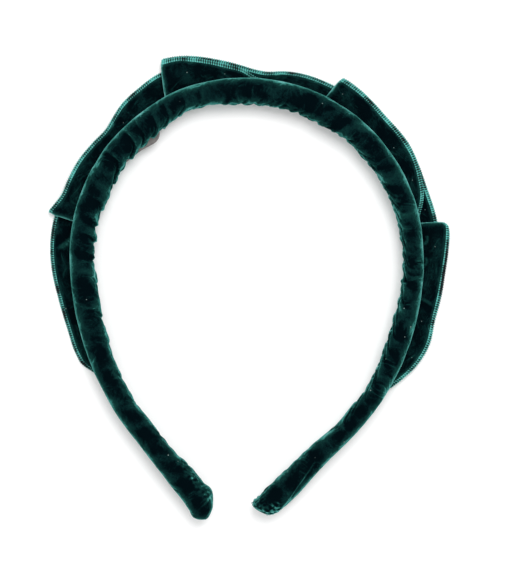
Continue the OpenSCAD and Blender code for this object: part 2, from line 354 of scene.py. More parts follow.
def piece(name, points, faces, cloth, materials, slots=None, fold=None):
    """An object with smooth faces and its millimetres along and across the cloth."""
    mesh = bpy.data.meshes.new(name)
    mesh.from_pydata(points.reshape(-1, 3).tolist(), [], [list(face) for face in faces])
    attribute = mesh.attributes.new("cloth", "FLOAT_VECTOR", "POINT")
    attribute.data.foreach_set("vector", np.asarray(cloth, np.float32).ravel())
    # fold carries painted highlights and shade, and on the cover its worn patches, into the
    # materials.
    if fold is not None:
        attribute = mesh.attributes.new("fold", "FLOAT", "POINT")
        attribute.data.foreach_set("value", np.asarray(fold, np.float32).ravel())
    for material in materials:
        mesh.materials.append(material)
    if slots is not None:
        mesh.polygons.foreach_set("material_index", np.asarray(slots, np.int32))
    mesh.polygons.foreach_set("use_smooth", np.ones(len(faces), bool))
    mesh.update()
    made = bpy.data.objects.new(name, mesh)
    bpy.context.scene.collection.objects.link(made)
    return made


# ---------------------------------------------------------------- the band

ROUND_SIDES = 80                          # points round the band
RING_STEP = 0.45
SQUARENESS = 2.5                          # 2 is an ellipse; more is nearer a rounded box
END_ROUND = 3.0                           # rounding of a leg's end, seen from the side
COVER_T = 1.0
STRIP_HALF_T, STRIP_HALF_W = 0.8, 3.0
STRIP_SHORT = 5.0                         # how far the strip stops short of a leg's end
LAYER_GAP = 0.05
TIP_AT = {LEFT: 200.3, RIGHT: 205.3}

OUTER_REACH = [
    (-200.3, 2.3), (-199.0, 4.0), (-197, 5.3), (-194, 4.9), (-182, 4.7), (-150, 4.6), (-110, 4.5),
    (-60, 4.4), (-34, 4.5), (-22, 4.8), (-8, 4.5), (20, 4.4), (60, 4.3), (85, 4.4), (110, 4.1),
    (140, 3.9), (182, 4.0), (190, 4.6), (197, 4.6), (201, 4.0), (203.2, 2.8), (204.5, 0.6),
    (205.3, -2.0)]
INNER_REACH = [
    (-200.3, -0.9), (-199.2, 1.3), (-196.8, 3.8), (-194.6, 5.3), (-189, 5.2), (-181, 5.0),
    (-174, 4.2), (-156, 3.8), (-145, 3.6), (-134, 4.1), (-120, 4.5), (-104, 4.7), (-94, 4.2),
    (-86, 4.6), (-80, 4.2), (-70, 5.2), (-60, 4.9), (-48, 5.3), (-38, 5.0), (-30, 4.4),
    (-24, 3.5), (-17, 3.8), (-8, 4.7), (4, 5.1), (28, 5.3), (38, 5.0), (50, 4.7), (66, 4.4),
    (76, 3.7), (86, 3.5), (98, 3.2), (106, 3.4), (114, 4.0), (124, 4.3), (134, 3.9), (144, 3.5),
    (156, 3.7), (166, 4.3), (180, 4.7), (192, 4.9), (202, 4.9), (204, 4.8), (205.3, 3.9)]

# Creases that start at the band's inner edge: place, depth, how far clockwise the crease
# has moved when it reaches the band's top, and how far round the band it shows, in degrees.
CREASES = [
    (-2, 0.6, 4, 90), (-21.5, 0.6, 5, 100), (-27.5, 0.7, 5, 100), (-35, 0.9, 5, 110),
    (-40.5, 1.0, 5, 110), (-46.5, 1.0, 5, 115), (-52.8, 1.5, 6.5, 140), (-64.5, 1.6, 9, 140),
    (-76, 1.1, 4, 100), (-82.2, 1.2, 3, 90), (-88.5, 1.3, 3, 90), (-95, 0.7, 3, 80),
    (-104, 0.6, 4, 90), (-117, 0.7, 4, 100), (-127, 0.35, 4, 90), (-141, 0.3, 5, 100),
    (-152, 0.25, 5, 90), (-166, 0.3, 6, 90), (-181, 0.3, 5, 80),
]
SERRATED = (3, 46)                        # small crimps, on the right of the crown
TWISTED = (48, 152)                       # long slanting folds, on the right side
# Short wrinkles across the band's top: place, where round the band in degrees, strength.
WRINKLES = [(97, 58, 1.9), (101.2, 60, 2.1), (134, 90, 1.0), (138.5, 75, 1.3), (142, 80, 1.0),
            (-58, 70, 1.0), (-109, 95, 0.7)]
# Worn patches near the tips: s, d, half length, half width, and how bright.
WORN = [(200.3, 2.4, 2.2, 1.7, 2.6), (203.3, -0.6, 1.3, 3.0, 1.3), (-186, -3.4, 5.0, 1.2, 0.9),
        (-195, -3.9, 3.0, 1.3, 1.0), (-190, 0.8, 7.0, 2.4, -0.35), (193, -1.5, 5.0, 2.0, -0.3)]
# The rolled seam on the right leg: place, and how far out across the top.
SEAM_LINE = [(176, 0.2), (181.5, 1.4), (190, 3.0), (196.8, 4.2), (200, 4.6)]
CUT_END = (197, 203)                      # where a leg turns ragged towards its cut end


def worn_places(s, d, up):
    plan = np.stack(np.broadcast_arrays(s, d, up), axis=-1)
    ragged = 0.4 + 1.1 * waves(plan, 0.7, seed=41)
    worn = np.zeros(d.shape)
    for at, out, half_length, half_width, bright in WORN:
        worn += bright * (up > 0) * np.exp(-((s - at) / half_length) ** 2
                                           - ((d - out) / half_width) ** 2)
    return np.clip(worn * np.where(worn > 0, ragged, 1), -0.5, 2.0)


def section_point(angle, half_t, half_w, squareness):
    """Outwards and upwards place on the band's section."""
    c, s = np.cos(angle), np.sin(angle)
    power = 2 / squareness
    return half_t * np.sign(c) * np.abs(c) ** power, half_w * np.sign(s) * np.abs(s) ** power


def all_creases():
    rng = np.random.default_rng(11)
    creases = list(CREASES)
    place = SERRATED[0]
    while place < SERRATED[1]:
        creases.append((place, rng.uniform(0.3, 0.7), rng.uniform(3, 6), rng.uniform(60, 95)))
        place += rng.uniform(2.6, 5.0)
    place = TWISTED[0]
    while place < TWISTED[1]:
        creases.append((place, rng.uniform(0.5, 1.0), rng.uniform(9, 13), rng.uniform(75, 100)))
        place += rng.uniform(4.0, 7.5)
    return creases


def crease_pattern(s, angle, spread_by, lip_share, lip_mm, dip_mm):
    """Every crease has a lip on its clockwise side, which laps over a dip."""
    from_inside = np.abs(np.mod(angle, 2 * math.pi) - math.pi)
    pattern = np.zeros(np.broadcast(s, angle).shape)
    for at, depth, shift, spread in all_creases():
        past = s - at - shift * (1 - np.exp(-(from_inside / 0.7) ** 2))
        end = math.radians(spread * spread_by)
        fade = 1 - smooth_step(from_inside, end * 0.45, end)
        lip = (1 + np.tanh(past / 0.3)) / 2
        pattern += depth * fade * (lip * lip_share * np.exp(-np.maximum(past, 0) / lip_mm)
                                   - (1 - lip) * np.exp(np.minimum(past, 0) / dip_mm))
    return pattern


def crease_relief(s, angle):
    return crease_pattern(s, angle, 1.0, 0.4, 3.0, 1.4)


def wrinkle_relief(s, angle):
    relief = np.zeros(np.broadcast(s, angle).shape)
    for at, around, strength in WRINKLES:
        away = angle - math.radians(around)
        past = s - at - 1.5 * away ** 2
        window = np.exp(-(away / 0.55) ** 2)
        relief += strength * window * (0.25 * np.exp(-(past / 0.45) ** 2)
                                       - 0.2 * np.exp(-((past + 1.0) / 0.6) ** 2))
    return relief


def cover_light_and_shade(s, angle):
    """Painted light on the cover: painted highlights on the creases' lips and painted shade in
    their dips, the same on the wrinkles and the settled bulges and hollows, slanting light and
    dark bands, and a darker crown.
    """
    straight = np.stack(np.broadcast_arrays(s, 4 * np.cos(angle), 4 * np.sin(angle)), axis=-1)
    bands = np.stack([straight[..., 0] - 0.9 * straight[..., 1], straight[..., 1] * 0.25,
                      straight[..., 2] * 0.25], axis=-1)
    # Painted highlights on the creases' lips, brighter on the twisted right side.
    lips = np.where(s > TWISTED[0], 1.5, 0.75)
    # Darker along the crown, from about s -25 to 70.
    crown_darker = 0.22 * smooth_step(s, -25, 10) * (1 - smooth_step(s, 45, 70))
    light_and_shade = crease_pattern(s, angle, 1.25, lips, 0.9, 2.6) + 0.26 * waves(bands, 3.2, seed=8)
    light_and_shade = light_and_shade + 1.3 * wrinkle_relief(s, angle) + 0.7 * settled_relief(s, angle)
    return np.clip(light_and_shade - crown_darker, -1, 1)


def seam_relief(s, across, up):
    """The rolled seam on the right leg, whose inner side laps over its outer side."""
    past = reach(SEAM_LINE, s) - across
    lap = (1 + np.tanh(past / 0.25)) / 2
    window = smooth_step(s, 172, 186) * (1 - smooth_step(s, 198, 202)) * (up > 0)
    return window * (lap * 0.4 * np.exp(-np.maximum(past, 0) / 1.6)
                     - (1 - lap) * 0.7 * np.exp(np.minimum(past, 0) / 1.6))


SETTLED = {}                              # what the simulation gave for each side
SETTLE_SCALE = 20                         # the simulation runs on an enlarged skin
SETTLE_STEP, SETTLE_SIDES = 1.0, 48
SETTLE_FRAMES = 20
SETTLE_CAP = 0.6                          # what is kept of a point's move is clipped to this
SETTLE_KEPT = 12                          # rings: bulges longer than this are taken away
SETTLE_SHARE = 0.8                        # how much of the wrinkles the fine cover takes
SETTLE_CLOTH = {
    "quality": 6, "mass": 0.3, "tension_stiffness": 15, "compression_stiffness": 15,
    "shear_stiffness": 5, "bending_stiffness": 0.4, "use_pressure": True,
    "uniform_pressure_force": 4, "shrink_min": -0.10, "vertex_group_mass": "held"}


def settle_cover(side):
    """The small wrinkles, in or out, that a coarse skin of the cover gets when its spare cloth
    settles over the padding's pressure. It is held at both ends and along its inner seam."""
    tip = TIP_AT[side] - END_ROUND
    s = side * np.linspace(0, tip, int(tip / SETTLE_STEP) + 1)[:, None]
    angle = np.linspace(0, 2 * math.pi, SETTLE_SIDES, endpoint=False)[None, :]
    outer, inner = reach(OUTER_REACH, s), reach(INNER_REACH, s)
    across, up = section_point(angle, (outer + inner) / 2, (BAND_HIGH - BAND_LOW) / 2, SQUARENESS)
    straight = np.stack(np.broadcast_arrays(s, across, up), axis=-1)
    jitter = 1 + 0.01 * waves(straight, 2.5, seed=51)
    start = band_points(s, (outer - inner) / 2 + across * jitter, BAND_Z + up * jitter)
    start = start * SETTLE_SCALE
    rows = len(s)
    last = (rows - 1) * SETTLE_SIDES
    faces = grid_faces(rows, SETTLE_SIDES, False, True).tolist()
    faces += [list(range(SETTLE_SIDES))[::-1], list(range(last, last + SETTLE_SIDES))]
    if side == LEFT:
        faces = [face[::-1] for face in faces]
    mesh = bpy.data.meshes.new("settling")
    mesh.from_pydata(start.reshape(-1, 3).tolist(), [], faces)
    mesh.update()
    skin = bpy.data.objects.new("settling", mesh)
    bpy.context.scene.collection.objects.link(skin)
    held = skin.vertex_groups.new(name="held")
    number = np.arange(rows * SETTLE_SIDES).reshape(rows, SETTLE_SIDES)
    seam = SETTLE_SIDES // 2
    fixed = np.concatenate([number[:2].ravel(), number[-2:].ravel(), number[:, seam]])
    held.add(fixed.tolist(), 1, "REPLACE")
    settling = skin.modifiers.new("settle", "CLOTH")
    for key, value in SETTLE_CLOTH.items():
        setattr(settling.settings, key, value)
    settling.settings.effector_weights.gravity = 0
    settling.point_cache.frame_end = SETTLE_FRAMES
    scene = bpy.context.scene
    first = scene.frame_current
    for frame_number in range(1, SETTLE_FRAMES + 1):
        scene.frame_set(frame_number)
    settled = skin.evaluated_get(bpy.context.evaluated_depsgraph_get()).data
    end = np.empty(rows * SETTLE_SIDES * 3, np.float32)
    settled.vertices.foreach_get("co", end)
    scene.frame_set(first)
    outwards = np.empty(rows * SETTLE_SIDES * 3, np.float32)
    mesh.vertex_normals.foreach_get("vector", outwards)
    bpy.data.objects.remove(skin)
    bpy.data.meshes.remove(mesh)
    moved = ((end.reshape(start.shape) - start) * outwards.reshape(start.shape)).sum(-1)
    moved = moved / SETTLE_SCALE / MM
    window = np.hanning(2 * SETTLE_KEPT + 1)
    padded = np.pad(moved, ((SETTLE_KEPT, SETTLE_KEPT), (0, 0)), mode="edge")
    window = window / window.sum()
    slow = np.stack([np.convolve(column, window, "valid") for column in padded.T], axis=-1)
    return np.abs(s[:, 0]), np.clip(moved - slow, -SETTLE_CAP, SETTLE_CAP)


def cubic_weights(part):
    """The four weights of a smooth curve between evenly spaced values."""
    return ((1 - part) ** 3 / 6, (3 * part**3 - 6 * part**2 + 4) / 6,
            (-3 * part**3 + 3 * part**2 + 3 * part + 1) / 6, part**3 / 6)


def settled_relief(s, angle):
    """The settled cloth's wrinkles at any place on the band."""
    side = LEFT if np.min(s) < 0 else RIGHT
    if side not in SETTLED:
        return np.zeros(np.broadcast(s, angle).shape)
    places, moved = SETTLED[side]
    row = np.interp(np.abs(s), places, np.arange(len(places)))
    column = np.mod(angle, 2 * math.pi) / (2 * math.pi) * SETTLE_SIDES
    i, j = np.floor(row).astype(int), np.floor(column).astype(int)
    total = 0
    for a, down in enumerate(cubic_weights(row - i)):
        for b, along in enumerate(cubic_weights(column - j)):
            rows = np.clip(i + a - 1, 0, len(places) - 1)
            total = total + down * along * moved[rows, (j + b - 1) % SETTLE_SIDES]
    from_inside = np.abs(np.mod(angle, 2 * math.pi) - math.pi)
    taut = smooth_step(from_inside, math.radians(60), math.radians(125))
    leg = smooth_step(-s, 90, 120) + smooth_step(s, 125, 160)
    return total * (1 - 0.85 * taut) * (1 - 0.7 * leg)


def seam_groove(angle):
    """The sewn seam that runs along the band's inner side."""
    from_inside = np.abs(np.mod(angle, 2 * math.pi) - math.pi)
    return -0.35 * np.exp(-(from_inside / 0.1) ** 2)


def cover_relief(s, angle, across, up):
    straight = np.stack(np.broadcast_arrays(s, across, up), axis=-1)
    relief = 0.12 * waves(straight, 5.0, seed=3) + 0.06 * waves(straight, 2.2, seed=4)
    relief = relief * (1.15 - 0.75 * np.cos(angle))
    cut_end = smooth_step(np.abs(s), *CUT_END)
    relief += 0.2 * cut_end * waves(straight, 0.8, seed=5)
    return (relief + crease_relief(s, angle) + wrinkle_relief(s, angle)
            + seam_relief(s, across, up) + seam_groove(angle)
            + SETTLE_SHARE * settled_relief(s, angle))


def lining_relief(s, angle, across, up):
    """What lies inside the cover gives way under its creases."""
    return np.minimum(cover_relief(s, angle, across, up), 0)


def tube_rings(side, layer, short, relief=None, strip=None):
    """Rings of points from the crown's top to a leg's tip, and their cloth millimetres. The
    surface lies a layer inside the cover's outside, and stops short of its end, or it is a
    flat strip on the band's middle line with the half sizes given."""
    tip = TIP_AT[side] - short
    body = np.linspace(0, tip - END_ROUND, int((tip - END_ROUND) / RING_STEP) + 1)
    turns = np.radians(np.arange(8, 90, 8))
    length = np.concatenate([body, tip - END_ROUND * (1 - np.sin(turns))])
    shrink = np.concatenate([np.zeros(len(body)), END_ROUND * (1 - np.cos(turns))])[:, None]
    s = (side * length)[:, None]
    angle = np.linspace(0, 2 * math.pi, ROUND_SIDES, endpoint=False)[None, :]
    if strip is None:
        outer, inner = reach(OUTER_REACH, s), reach(INNER_REACH, s)
        middle, half_t = (outer - inner) / 2, np.maximum((outer + inner) / 2 - layer, 0.3)
        half_w = (BAND_HIGH - BAND_LOW) / 2 - layer - shrink
        across, up = section_point(angle, half_t, np.maximum(half_w, 0.2), SQUARENESS)
    else:
        middle = np.zeros(s.shape)
        across, up = section_point(angle, strip[0], np.maximum(strip[1] - shrink, 0.2), 6)
    if relief is not None:
        calmer = 1 - 0.6 * shrink / END_ROUND
        grown = 1 + relief(s, angle, across, up) * calmer / np.hypot(across, up)
        across, up = across * grown, up * grown
    points = band_points(s, middle + across, BAND_Z + up)
    # fold: painted highlights and shade on the cover's creases, wrinkles and bands, with its worn
    # patches.
    fold = cover_light_and_shade(s, angle) + worn_places(s, middle + across, up)
    return points, np.stack(np.broadcast_arrays(s, across, up), axis=-1), fold


def hollow_tube(name, side, outside, inside, materials):
    """A closed skin: out along the outside, and back along the inside. Each of the two is
    (points, cloth, fold), and each is closed at the tip by one point."""
    rows = len(outside[0])
    points, cloth, fold = (
        np.concatenate([out.reshape(-1, *out.shape[2:]), back.reshape(-1, *back.shape[2:]),
                        out[-1].mean(0)[None], back[-1].mean(0)[None]])
        for out, back in zip(outside, inside))
    wall = grid_faces(rows, ROUND_SIDES, False, True)
    in_rows = len(inside[0])
    lining = grid_faces(in_rows, ROUND_SIDES, False, True)[:, ::-1] + rows * ROUND_SIDES
    k = np.arange(ROUND_SIDES)
    after = (k + 1) % ROUND_SIDES
    inner_start = rows * ROUND_SIDES
    rim = np.stack([inner_start + k, inner_start + after, after, k], axis=-1)
    out_last, in_last = (rows - 1) * ROUND_SIDES, inner_start + (in_rows - 1) * ROUND_SIDES
    centre = len(points) - 2
    out_cap = [[out_last + a, out_last + b, centre] for a, b in zip(k, after)]
    in_cap = [[in_last + b, in_last + a, centre + 1] for a, b in zip(k, after)]
    faces = wall.tolist() + lining.tolist() + rim.tolist() + out_cap + in_cap
    if side == LEFT:
        faces = [face[::-1] for face in faces]
    made = piece(name, points, faces, cloth, materials, fold=fold)
    crease_edges(made.data, {*range(ROUND_SIDES), *range(inner_start, inner_start + ROUND_SIDES)})
    return made


def solid_tube(name, rings, side, material):
    """A solid bar along rings of points, closed at each end by one point."""
    points, cloth, fold = (
        np.concatenate([part.reshape(-1, *part.shape[2:]), part[0].mean(0)[None],
                        part[-1].mean(0)[None]])
        for part in rings)
    rows, sides = rings[2].shape
    k = np.arange(sides)
    after = (k + 1) % sides
    last, start = (rows - 1) * sides, rows * sides
    faces = (grid_faces(rows, sides, False, True).tolist()
             + [[b, a, start] for a, b in zip(k, after)]
             + [[last + a, last + b, start + 1] for a, b in zip(k, after)])
    if side == LEFT:
        faces = [face[::-1] for face in faces]
    return piece(name, points, faces, cloth, [material], fold=fold)


def crease_edges(mesh, rim_points):
    """Sharp edges round a cut, so that its flat rim doesn't shade the wall beside it."""
    for edge in mesh.edges:
        edge.use_edge_sharp = set(edge.vertices) <= rim_points


# ---------------------------------------------------------------- the ribbon

RIBBON_W = 16.0
TUCK = 1.1                                # least gap from the hidden edge to the band's inside
RIB_PITCH = 0.85
ROW_PITCH = 1.05                          # the ribs' ends show as two beaded rows
RIB_SAMPLES = 4
WOVEN_W = 1.25                            # width of the ribbed edge
HALF_PILE = 0.36                          # half thickness of the velvet
HALF_WOVEN = 0.16
RIB_HALF_T = 0.13                         # how much thicker a rib is, on each side
DRAWN_UP_TO = 3.3                         # the height that the gathers are drawn towards
LOW_Z, BACK_Z, FRONT_Z = 0.45, 1.55, 2.65  # middle of the lowest layer, and of a loop's two
FOLD_LIFT, BACK_LIFT = 1.3, 0.5           # how far a loop's free corner stands up
FOLD_PUSH = 0.7
TOOTH = 0.16                              # how far each rib stands out at the edge
FLOOR_GAP = 0.06
UNDERSIDE = (0, 0, 5)                     # keeps the two sides' patterns apart
KNOTS = (-132, -49, 5, 80, 138)

# Creases in the flaps: middle of each arc in plan (x, y), radius, angles, width, and brightness,
# which sets both the relief and the painted highlight and shade.
FLAP_CREASES = [(62.3, 17.6, 1.9, -70, 30, 0.4, 1.8), (62.0, 9.6, 1.9, -60, 40, 0.4, 1.4),
                (60.0, -12.0, 8.0, 45, 75, 0.5, 0.9), (-71.7, 22.6, 8.4, -75, -10, 0.9, 1.5)]

START_EDGE = [(-136, 4.2), (-133.5, 6.2), (-130.5, 8.1), (-127, 8.8), (-118, 9.2), (-108, 10.2),
              (-98, 11.6), (-91, 12.1), (-84, 12.1), (-70, 10.3), (-49, 8.7)]
LOOP_1_FRONT = [(-80, 14.1), (-77.5, 12.6), (-74.5, 11.3), (-70, 11.0), (-62, 10.6), (-56, 9.8),
                (-49.5, 9.2), (-46, 10.2), (-41, 11.8), (-34, 12.9), (-27, 13.8), (-12, 9.5),
                (3, 5.4)]
LOOP_1_BACK = [(-80, 14.1), (-77.5, 12.6), (-74.5, 11.2), (-70, 10.8), (-62, 10.3), (-56, 9.2),
               (-51, 6.5), (-47, 4.4)]
LOOP_2_FRONT = [(-23.8, 17.1), (-20, 16.4), (-15.5, 14.3), (-6, 9.9), (-0.8, 7.8), (2, 5.8),
                (5, 4.4)]
LOOP_2_BACK = [(-23.8, 18.0), (-18, 16.3), (-9, 12.4), (-2.5, 9.8), (3, 7.9), (6.5, 7.5),
               (12, 8.7), (18, 9.5), (28, 9.8), (45, 9.9), (60, 9.1), (79, 5.0)]
LOOP_3_FRONT = [(30.2, 13.4), (36, 13.0), (41, 12.4), (46, 11.7), (55, 11.7), (62, 11.3),
                (68, 10.0), (74, 8.3), (80, 4.8)]
LOOP_3_BACK = [(30.2, 13.9), (36, 13.3), (41, 12.6), (46, 12.0), (58, 12.0), (65, 11.1),
               (72, 10.5), (82, 10.9), (100, 10.1), (122, 9.3), (137, 4.6)]
LOOP_4_FRONT = [(84.4, 14.8), (87, 14.5), (92.5, 13.5), (98.5, 12.5), (107, 11.5), (115, 10.9),
                (123, 11.2), (127, 10.5), (131, 9.3), (137, 6.5), (141, 4.6)]
LOOP_4_BACK = [(84.4, 14.8), (87, 14.6), (92.5, 13.7), (98.5, 12.7), (107, 11.8), (115, 10.8),
               (124, 10.3), (138, 4.6)]


def ribbon_run(edge, outer, inner, base, lift):
    """Rings of a stretch of ribbon. Each row is s and d at the outer edge, s and d at the
    tucked edge, height, extra height at the free edge."""
    steps = max(12, int(abs(outer[1] - outer[0]) * 4))
    u = np.linspace(0, 1, steps)
    s_out = outer[0] + (outer[1] - outer[0]) * u
    s_in = inner[0] + (inner[1] - inner[0]) * u
    d_out = reach(edge, s_out)
    d_in = np.maximum(TUCK - reach(INNER_REACH, (s_out + s_in) / 2), d_out - RIBBON_W)
    return np.stack([s_out, d_out, s_in, d_in, base(s_out), lift(s_out)], axis=-1)


def turn_over(front_end, back_start):
    """The fold, where a loop's front layer turns under into its back layer."""
    turn = np.linspace(0, math.pi, 16)[1:-1, None]
    share = (1 - np.cos(turn)) / 2
    rings = front_end * (1 - share) + back_start * share
    push = FOLD_PUSH * np.sin(turn[:, 0])
    rings[:, 0] -= push
    rings[:, 2] -= push
    return rings


def level(z):
    return lambda s: np.full(s.shape, float(z))


def climb(before, after, start, end):
    """A height that changes along the band, from one place to another."""
    return lambda s: before + (after - before) * smooth_step(s, start, end)


def loop(front, back, fold, front_knot, back_knot, front_z, back_z):
    """A whole loop: its front layer from one knot to the fold, and its back layer from the
    fold to another knot. fold is its s at the outer and the tucked edge."""
    fold_out, fold_in = fold
    front_rings = ribbon_run(front, (front_knot, fold_out), (front_knot, fold_in),
                             front_z, lambda s: FOLD_LIFT * np.exp(-((s - fold_out) / 11) ** 2))
    back_rings = ribbon_run(back, (fold_out, back_knot), (fold_in, back_knot),
                            back_z, lambda s: BACK_LIFT * np.exp(-((s - fold_out) / 9) ** 2))
    return np.concatenate([front_rings, turn_over(front_rings[-1], back_rings[0]), back_rings])


def knot_relief(s, d):
    """Small pleats where the ribbon is gathered. Every layer follows the same ones."""
    relief = np.zeros(s.shape)
    for i, knot in enumerate(KNOTS):
        relief += 0.2 * np.exp(-((s - knot) / 5) ** 2) * np.sin(d * 2 * math.pi / 3.4 + i)
    return relief


def stitch_hollow(s, d):
    """How far the gathers are drawn up towards the band where they are stitched."""
    drawn = sum(np.exp(-((s - knot) / 3) ** 2) for knot in KNOTS)
    return 0.45 * drawn * smooth_step(d, -2.5, 0) * (1 - smooth_step(d, 4, 6))


def flap_creases(x, y):
    """Short curved creases in the flaps, each with a dip on its hollow side. As colour, each is a
    painted highlight with painted shade in its dip.
    """
    creased = np.zeros(x.shape)
    for centre_x, centre_y, radius, start, end, width, bright in FLAP_CREASES:
        away = np.hypot(x - centre_x, y - centre_y) - radius
        turn = np.degrees(np.arctan2(y - centre_y, x - centre_x))
        window = (smooth_step(turn, start - 12, start + 12)
                  * (1 - smooth_step(turn, end - 12, end + 12)))
        creased += bright * window * (np.exp(-(away / width) ** 2)
                                      - 0.5 * np.exp(-((away + 3 * width) / (2 * width)) ** 2))
    return creased


def ribbon_relief(s, d):
    x, y = band_plan(s, d)
    plan = np.stack([x, y, np.zeros(x.shape)], axis=-1)
    relief = 0.2 * waves(plan, 7, seed=21) + 0.08 * waves(plan, 3, seed=22) + knot_relief(s, d)
    relief += 0.16 * flap_creases(x, y)
    return relief * (0.35 + 0.65 * smooth_step(d, 3, 7))


def fold_place(rings):
    """The number of the ring where a ribbon turns back, if it does."""
    turned = np.gradient(rings[:, 0])
    return np.flatnonzero(turned[:-1] * turned[1:] < 0)[:1]


def ribbon_light_and_shade(rings, s, d, inward):
    """Painted light on the ribbon: a painted highlight along a fold and just inside the woven
    edges, painted highlights and shade at the flap creases, and random tone.
    """
    x, y = band_plan(s, d)
    plan = np.stack([x, y, np.zeros(x.shape)], axis=-1)
    light_and_shade = 0.2 * waves(plan, 4.5, seed=31) - 0.05 + flap_creases(x, y)
    # Painted highlight along the fold.
    for place in fold_place(rings):
        light_and_shade += 0.95 * np.exp(-((s - s[place]) / 0.9) ** 2)
    # Painted highlight just inside each woven edge.
    return np.clip(light_and_shade + 0.75 * np.exp(-((inward - WOVEN_W - 0.4) / 0.35) ** 2), -1, 1)


def even_rings(rings):
    """The same rings at even steps along the outer edge, four to each rib of the weave."""
    edge = band_points(rings[:, 0], rings[:, 1], rings[:, 4] + rings[:, 5]) / MM
    length = np.concatenate([[0], np.cumsum(np.linalg.norm(np.diff(edge, axis=0), axis=1))])
    even = np.arange(0, length[-1], RIB_PITCH / RIB_SAMPLES)
    return np.stack([np.interp(even, length, column) for column in rings.T], axis=-1), even


def ribbon_columns():
    woven = np.linspace(0, WOVEN_W, 5)
    body = np.linspace(WOVEN_W + 0.2, RIBBON_W - WOVEN_W - 0.2, 26)
    return np.concatenate([woven, body, RIBBON_W - woven[::-1]]), len(woven)


def round_corner(rings, s, inward, corner):
    """How far the corner at a loop's fold is worn back from square."""
    worn = np.zeros(inward.shape)
    for place in fold_place(rings):
        worn += corner * np.exp(-np.abs(s - s[place]) / 0.9 - inward / 0.9)
    return worn


def ribbon_sheet(name, rings, materials, corner, dim):
    """A length of ribbon with its two ribbed edges, and its length in millimetres. dim says
    where its outer edge is darker: from s, to s, how far inwards, and how much."""
    rings, along = even_rings(rings)
    across, woven = ribbon_columns()
    s_out, d_out, s_in, d_in, base, lift = (column[:, None] for column in rings.T)
    room = d_out - d_in
    body = WOVEN_W + (across - WOVEN_W) * (room - 2 * WOVEN_W) / (RIBBON_W - 2 * WOVEN_W)
    inward = np.where(across <= WOVEN_W, across,
                      np.where(across >= RIBBON_W - WOVEN_W, room - RIBBON_W + across, body))
    rib = np.cos(2 * math.pi * along / RIB_PITCH)[:, None]
    on_edge = (across <= WOVEN_W) | (across >= RIBBON_W - WOVEN_W)
    s = s_out + (s_in - s_out) * inward / room
    worn = round_corner(rings, s, inward, corner)
    d = d_out - inward + np.where(across == 0, TOOTH * rib, 0) - worn
    s = s + worn
    z = base + lift * smooth_step(d, 4, 9) + ribbon_relief(s, d)
    z = z + stitch_hollow(s, d) * (1 - base / DRAWN_UP_TO)
    z = np.maximum(z, HALF_PILE + FLOOR_GAP)
    cloth = np.stack(np.broadcast_arrays(along[:, None], across, 0.0), axis=-1)
    half = np.where(on_edge, HALF_WOVEN + RIB_HALF_T * rib, HALF_PILE)
    column = np.tile(np.arange(len(across) - 1), len(rings) - 1)
    slot = ((column < woven - 1) | (column >= len(across) - woven)).astype(int)
    # fold: the ribbon's painted highlights and shade; the dims below darken its outer edge.
    fold = ribbon_light_and_shade(rings, s, d, inward)
    for start, end, wide, amount in dim:
        window = smooth_step(s, start - 4, start + 4) * (1 - smooth_step(s, end - 4, end + 4))
        fold = fold - amount * window * (inward < wide)
    made = thick_sheet(name, band_points(s, d, z), half, cloth, materials, slot, fold)
    return made, along[-1]


def thick_sheet(name, points, half, cloth, materials, slot, fold):
    """A closed sheet round a grid of points, with half its thickness on each side."""
    normal = np.cross(np.gradient(points, axis=0), np.gradient(points, axis=1))
    normal /= np.linalg.norm(normal, axis=-1, keepdims=True)
    shift = normal * np.broadcast_to(half, points.shape[:2])[..., None] * MM
    rows, columns = points.shape[:2]
    faces = grid_faces(rows, columns, False, False)
    under = faces[:, ::-1] + rows * columns
    border = rim_of(rows, columns)
    after = np.roll(border, -1)
    rim = np.stack([border, border + rows * columns, after + rows * columns, after], axis=-1)
    slots = np.concatenate([slot, slot, np.full(len(rim), len(materials) - 1)])
    faces = np.concatenate([faces, under, rim])
    return piece(name, np.stack([points + shift, points - shift]), faces,
                 np.stack([cloth, cloth + UNDERSIDE]), materials, slots, np.stack([fold, fold]))


def rim_of(rows, columns):
    """The numbers of a grid's border points, once round."""
    grid = np.arange(rows * columns).reshape(rows, columns)
    return np.concatenate([grid[0, :-1], grid[:-1, -1], grid[-1, :0:-1], grid[:0:-1, 0]])


# ---------------------------------------------------------------- build

# Each velvet: size of its patches of painted sheen, how they are stretched, and how deep the bump
# is that tilts its painted sheen.
cover_velvet = velvet("cover_velvet", 5.0, (1, 0.45, 0.45), 1.7)
ribbon_velvet = velvet("ribbon_velvet", 7.0, (0.8, 1, 1), 2.2)
ribbed_edge = woven_edge("ribbed_edge")

ARM = {LEFT: "left_arm", RIGHT: "right_arm"}
WORD = {LEFT: "left", RIGHT: "right"}


def bend_with(obj):
    """Bakes the piece's placement into its mesh."""
    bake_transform(obj)


thread = thread_material("sewing_thread", (0.01, 0.08, 0.07), (0.04, 0.26, 0.22))
wadding = fibre_material("wadding_fibres", (0.5, 0.48, 0.42), (0.82, 0.8, 0.74),
                         {"per_mm": 1.4, "detail": 6, "distortion": 2.5}, 0.95, 0.4, 0.0004, 0.9)
plastic = fibre_material("sprung_plastic", (0.035, 0.038, 0.042), (0.07, 0.075, 0.08),
                         {"per_mm": 0.8, "detail": 5, "stretch": (0.2, 2, 1)},
                         0.45, 0, 0.00005, 0.5)
tape = tape_material()


def band_layer(made, side, word):
    """One layer of half the band, which stands for its CAD nodes."""
    bend_with(made)
    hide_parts(word + "_" + WORD[side], *([word + "_crown"] if side == LEFT else []))
    return made


for side in (LEFT, RIGHT):
    SETTLED[side] = settle_cover(side)

